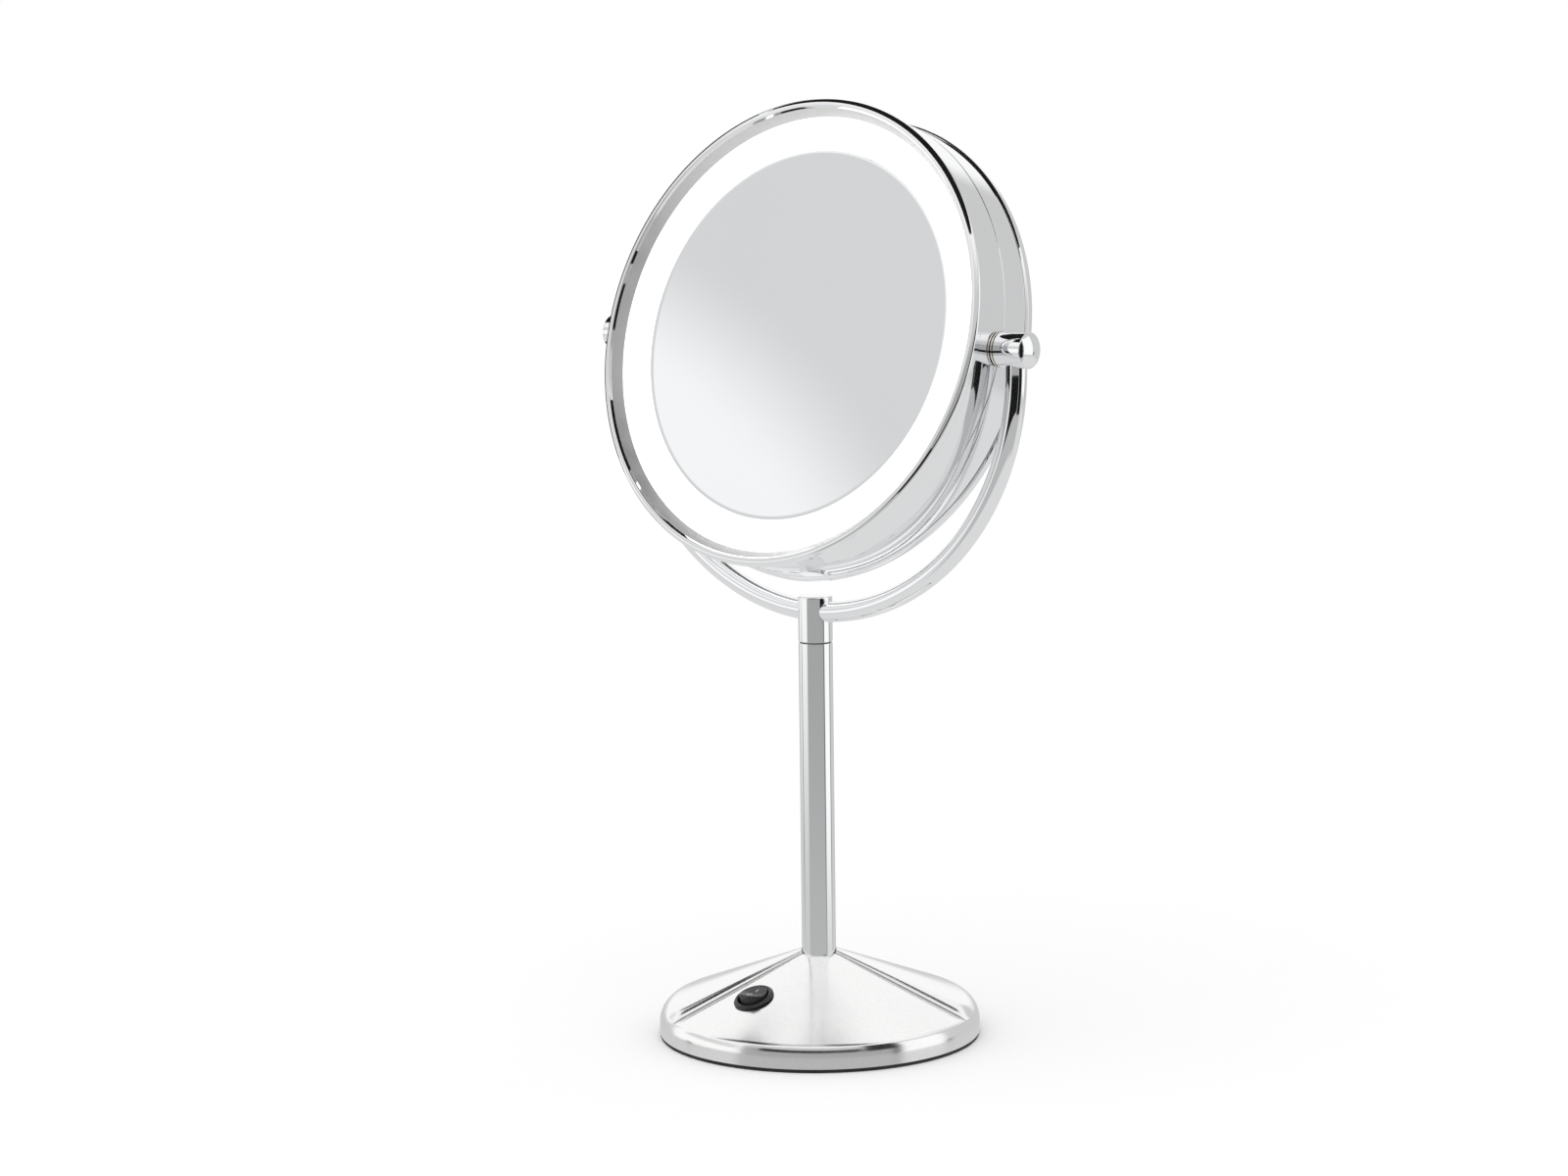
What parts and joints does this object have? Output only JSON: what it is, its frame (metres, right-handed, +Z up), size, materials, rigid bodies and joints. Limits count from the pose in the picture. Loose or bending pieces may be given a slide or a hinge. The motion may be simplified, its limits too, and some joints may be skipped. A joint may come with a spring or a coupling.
{
  "type": "lighted vanity mirror",
  "caption": "Table vanity mirror: round lit head with magnifying and flat faces, tilting in a U-shaped tube yoke that swivels on a post over a weighted round base.",
  "frame": {"origin": "centre of the underside of the base, on the surface that it stands on", "axes": "+Z up along the post, -Y towards the front of the base, which carries the switch panel; +X to the right seen from the front"},
  "size_m": [0.1866, 0.1648, 0.4057],
  "materials": {
    "satin_chrome": "fine satin chrome plate",
    "polished_chrome": "polished",
    "black_rubber": "matt",
    "black_plastic": "fine grain",
    "switch_black": "semi gloss",
    "cast_iron": "as cast",
    "plain_steel": "zinc plated",
    "brass": "satin",
    "nylon": "satin",
    "cell_jacket": "printed film, plain",
    "circuit_board": "solder mask",
    "lead_jacket": "satin",
    "mirror_glass": "silvered behind clear glass",
    "frosted_lit": "frosted and lit from behind",
    "white_plastic": "satin",
    "foam": "closed cell",
    "led": "clear lens"
  },
  "bodies": {
    "stand": {"base_shell": "satin_chrome", "front_panel": "satin_chrome", "post_tube": "polished_chrome", "foot_ring": "black_rubber", "base_plate": "black_plastic", "battery_bay": "black_plastic", "switch_housing": "switch_black", "ballast_weight": "cast_iron", "door_hinge_pin": "plain_steel", "base_screws": "plain_steel", "hub_plate": "plain_steel", "hub_screws": "plain_steel", "post_washer": "plain_steel", "post_nut": "plain_steel", "post_plug": "plain_steel", "battery_contacts": "plain_steel", "switch_terminals": "brass", "swivel_bush": "brass", "battery_cells": "cell_jacket", "driver_board": "circuit_board", "base_lead": "lead_jacket"},
    "battery_door": {"battery_door": "black_plastic"},
    "rocker": {"rocker": "switch_black"},
    "yoke": {"post_head": "polished_chrome", "swivel_washer": "nylon", "swivel_stem": "plain_steel", "stem_spring_washer": "plain_steel", "stem_nut": "plain_steel", "yoke_tube": "polished_chrome", "yoke_set_screw": "plain_steel", "pivot_cap_right": "polished_chrome", "pivot_cap_left": "polished_chrome", "cap_buttons": "polished_chrome", "pivot_bushes": "nylon", "pivot_collars": "polished_chrome", "brass_washers": "brass", "yoke_lead": "lead_jacket"},
    "head": {"front_shell": "polished_chrome", "rear_shell": "polished_chrome", "front_bezel": "polished_chrome", "rear_bezel": "polished_chrome", "front_led_board": "circuit_board", "rear_led_board": "circuit_board", "front_mirror": "mirror_glass", "rear_mirror": "mirror_glass", "front_diffuser": "frosted_lit", "rear_diffuser": "frosted_lit", "front_tray": "white_plastic", "rear_tray": "white_plastic", "front_mirror_pad": "foam", "rear_mirror_pad": "foam", "front_leds": "led", "rear_leds": "led", "pivot_frame": "white_plastic", "trunnion_right": "plain_steel", "trunnion_left": "plain_steel", "trunnion_nuts": "plain_steel", "friction_washers": "plain_steel", "tray_screws": "plain_steel", "head_lead": "lead_jacket"}
  },
  "joints": [
    {"name": "swivel", "type": "hinge", "parent": "stand", "child": "yoke", "pos_m": [0, 0, 0.17315], "axis": [0, 0, 1], "range_deg": [-130, 210]},
    {"name": "tilt", "type": "hinge", "parent": "yoke", "child": "head", "pos_m": [0, 0, 0.3032], "axis": [0.7677, -0.6408, 0], "range_deg": [-163.77, 196.23]},
    {"name": "rocker_press", "type": "hinge", "parent": "stand", "child": "rocker", "pos_m": [-0.02812, -0.02812, 0.02172], "axis": [0.7071, -0.7071, 0], "range_deg": [0, 28]},
    {"name": "door_hinge", "type": "hinge", "parent": "stand", "child": "battery_door", "pos_m": [0, -0.0123, 0.0022], "axis": [-1, 0, 0], "range_deg": [0, 95]}
  ]
}
